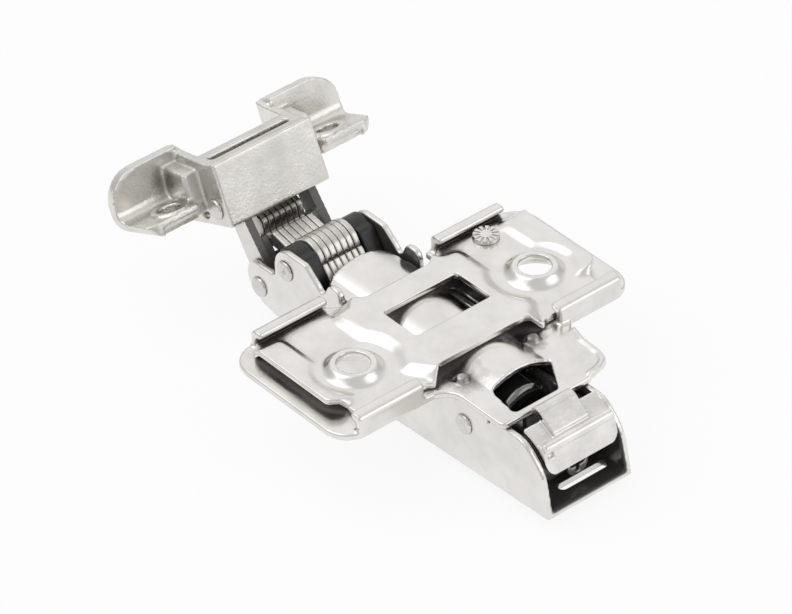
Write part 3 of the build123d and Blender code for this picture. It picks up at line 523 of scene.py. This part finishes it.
def leverExtras():
    bead = circle(lever["beadPlace"], lever["beadRadius"])
    return [prism("leverPanel", lever["panel"], lever["panelFrom"], lever["panelTo"], "y"),
            prism("leverBead", bead, -lever["beadHalfLength"], lever["beadHalfLength"], "y")]


def leverCuts():
    wide, low, radius = lever["halfWidth"], lever["lipBottom"], lever["cornerRadius"]
    turns = [math.pi / 2 * k / lever["cornerSteps"] for k in range(lever["cornerSteps"] + 1)]
    outside, below = wide + lever["cutMargin"], low - lever["cutMargin"]
    cuts = []
    for side in (-1, 1):
        outline = [(side * (wide - radius + radius * math.sin(t)), low + radius - radius * math.cos(t))
                   for t in turns]
        outline += [(side * outside, low + radius), (side * outside, below), (side * (wide - radius), below)]
        cuts.append(prism("leverCut", outline, lever["lipFrom"], lever["lipTo"], "x"))
    return cuts


# measured from the outer link's nose pivot, along it and across it, in millimetres:
# two spacers beside the inner link, and a shallow relief in the web, where the closed inner link lies
spacer = {"from": 0.8, "to": 6.2, "inner": -1.6, "outer": 1.6, "near": 3.72, "far": 5.3}
relief = {"from": -1.5, "to": 4.0, "inner": 0.8, "outer": 1.3, "halfWidth": 3.9}


def middle(name):
    low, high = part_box(name)
    return Vector(((low.x + high.x) / 2, (low.z + high.z) / 2)) / mm


def linkOutline(part):
    start = middle("nose_rivets")
    along = (middle("housing_rivets") - start).normalized()
    across = Vector((-along.y, along.x))
    return [start + along * u + across * v for u, v in (
        (part["from"], part["inner"]), (part["to"], part["inner"]),
        (part["to"], part["outer"]), (part["from"], part["outer"]))]


def linkExtras():
    outline = linkOutline(spacer)
    return [prism("linkSpacer", outline, -spacer["far"], -spacer["near"], "y"),
            prism("linkSpacer", outline, spacer["near"], spacer["far"], "y")]


def linkCuts():
    return [prism("linkRelief", linkOutline(relief), -relief["halfWidth"], relief["halfWidth"], "y")]


# the rolled edge round the base plate's side tab, in millimetres
tabRim = {"height": -2.55, "radius": 0.4, "path": [
    (11.6, 12.6), (14.2, 11.9), (16.5, 11.75), (18.2, 11.6), (19.4, 11.0), (20.1, 9.9), (20.4, 8.6),
    (20.5, 7.6)]}


def plateExtras():
    return [tube("tabRim", [(x, y, tabRim["height"]) for x, y in tabRim["path"]], tabRim["radius"])]


# meshes that are joined to a piece, and meshes that are cut from it
shaping = {"release_lever": (leverExtras, leverCuts), "outer_link": (linkExtras, linkCuts),
           "base_plate": (plateExtras, list)}
softening = {"weld": 0.0005, "relax": 0.5}


def softened(name, voxel, passes):
    # a copy of the CAD node whose edges are rounded as pressing, casting or tumbling leaves them
    extras, cuts = shaping.get(name, (list, list))
    mesh = nodes[name].data.copy()
    mesh.transform(Matrix.Scale(1 / mm, 4))
    bm = bmesh.new()
    bm.from_mesh(mesh)
    bmesh.ops.remove_doubles(bm, verts=bm.verts, dist=softening["weld"])
    for extra in extras():
        bm.from_mesh(extra)
    bm.to_mesh(mesh)
    bm.free()
    piece = addObject(name + "_shape", mesh)
    remesh = piece.modifiers.new("remesh", "REMESH")
    remesh.mode = "VOXEL"
    remesh.voxel_size = voxel
    cutters = [addObject("cutter", cut) for cut in cuts()]
    for cutter in cutters:
        clip = piece.modifiers.new("clip", "BOOLEAN")
        clip.operation = "DIFFERENCE"
        clip.object = cutter
    relax = piece.modifiers.new("relax", "SMOOTH")
    relax.factor = softening["relax"]
    relax.iterations = passes
    piece.data = finishedMesh(piece)
    piece.modifiers.clear()
    for cutter in cutters:
        bpy.data.objects.remove(cutter)
    if name in pressing["sheets"]:
        softenSlopes(piece.data, mesh)
    bpy.data.meshes.remove(mesh)
    piece.data.transform(Matrix.Scale(mm, 4))
    for polygon in piece.data.polygons:
        polygon.use_smooth = True
    return piece


for name, (finish, voxel, passes) in finishes.items():
    if voxel:
        piece = softened(name, voxel, passes)
        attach(piece, bodyOf[name])
        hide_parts(name)
    else:
        piece = nodes[name]
    piece.data.materials.clear()
    piece.data.materials.append(materials[finish])

# the closing spring gets its own copy of its mesh, which rides with its body
coil = addObject("closing_spring_shape", nodes["closing_spring"].data.copy())
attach(coil, bodyOf["closing_spring"])
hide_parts("closing_spring")
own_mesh(coil)
report("pieces")


ground = {"drop": 0.0001, "width": 6.0, "color": (0.9, 0.9, 0.9, 1.0), "glowShare": 0.9}


def makeFloorMaterial():
    # the camera and mirrored rays see it nearly white, and it keeps the shadow
    material, tree = emptyMaterial("paleFloor")
    diffuse = tree.add("ShaderNodeBsdfDiffuse", {"Color": ground["color"]})
    glow = tree.add("ShaderNodeEmission", {"Color": white, "Strength": 1.0})
    path = tree.add("ShaderNodeLightPath")
    seen = tree.maths("MAXIMUM", path.outputs["Is Camera Ray"], path.outputs["Is Glossy Ray"])
    share = tree.maths("MULTIPLY", seen, ground["glowShare"])
    mixed = tree.add("ShaderNodeMixShader", {0: share, 1: diffuse.outputs[0], 2: glow.outputs[0]})
    tree.put(mixed.outputs[0], tree.add("ShaderNodeOutputMaterial").inputs[0])
    return material


floorHeight = min(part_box(name)[0].z for name in nodes) - ground["drop"]
half = ground["width"] / 2
corners = [(-half, -half), (half, -half), (half, half), (-half, half)]
floorMesh = bpy.data.meshes.new("floor")
floorMesh.from_pydata([(x, y, floorHeight) for x, y in corners], [], [(0, 1, 2, 3)])
floorMesh.materials.append(makeFloorMaterial())
floor = addObject("floor", floorMesh)

# mirrored rays see a horizon, a brighter overhead and three soft panels, each towards one direction
studio = {"backdrop": 1.0, "diffuse": 0.55, "horizon": 0.42, "overhead": 0.72, "horizonTop": 0.02,
          "overheadFrom": 0.42, "panels": [
              {"toward": (-0.62, 0.49, 0.61), "edge": 0.5, "middle": 0.92, "strength": 0.28},
              {"toward": (-0.3, -0.42, 0.85), "edge": 0.86, "middle": 0.93, "strength": 0.85},
              {"toward": (0.75, 0.5, 0.42), "edge": 0.86, "middle": 0.95, "strength": 0.7}]}
world = bpy.data.worlds.new("studio")
bpy.context.scene.world = world
world.use_nodes = True
world.node_tree.nodes.clear()
air = Tree(world.node_tree)
direction = air.add("ShaderNodeTexCoord").outputs["Generated"]
upward = air.add("ShaderNodeSeparateXYZ", {0: direction}).outputs["Z"]
mirrored = air.ramp(upward, studio["horizonTop"], studio["overheadFrom"],
                    studio["horizon"], studio["overhead"])
for panel in studio["panels"]:
    toward = air.dot(direction, panel["toward"])
    glow = air.ramp(toward, panel["edge"], panel["middle"], 0.0, panel["strength"])
    mirrored = air.maths("ADD", mirrored, glow)
diffuseSky, mirroredSky, seenSky = [
    air.add("ShaderNodeBackground", {"Color": white, "Strength": strength}).outputs[0]
    for strength in (studio["diffuse"], mirrored, studio["backdrop"])]
rays = air.add("ShaderNodeLightPath").outputs
lit = air.add("ShaderNodeMixShader", {0: rays["Is Glossy Ray"], 1: diffuseSky, 2: mirroredSky})
seen = air.add("ShaderNodeMixShader", {0: rays["Is Camera Ray"], 1: lit, 2: seenSky})
air.put(seen, air.add("ShaderNodeOutputWorld").inputs[0])

softBoxes = {
    "keyLight": {"place": (-0.25, -0.35, 0.7), "size": 0.9, "power": 3.2},
    "sideLight": {"place": (0.55, 0.4, 0.35), "size": 0.6, "power": 0.8},
}
for name, box in softBoxes.items():
    lamp = bpy.data.lights.new(name, "AREA")
    lamp.size = box["size"]
    lamp.energy = box["power"]
    holder = addObject(name, lamp)
    holder.location = box["place"]
    holder.rotation_euler = (-Vector(box["place"])).to_track_quat("-Z", "Y").to_euler()
    holder.visible_glossy = False  # the world's panels stand for its reflection
report("stage and light")


lens = {"focal": 250.0, "sensor": 36.0, "place": (0.4547, -0.3698, 0.4504),
        "right": (0.6408, 0.7671, -0.0317), "down": (0.4509, -0.4094, -0.7931)}
view = bpy.data.cameras.new("view")
view.lens = lens["focal"]
view.sensor_width = lens["sensor"]
camera = addObject("view", view)
right = Vector(lens["right"]).normalized()
up = -Vector(lens["down"])
up = (up - right * up.dot(right)).normalized()
back = right.cross(up)
camera.matrix_world = Matrix.Translation(lens["place"]) @ Matrix((right, up, back)).transposed().to_4x4()
bpy.context.scene.camera = camera
bpy.context.scene.view_settings.view_transform = "Standard"
report("camera")
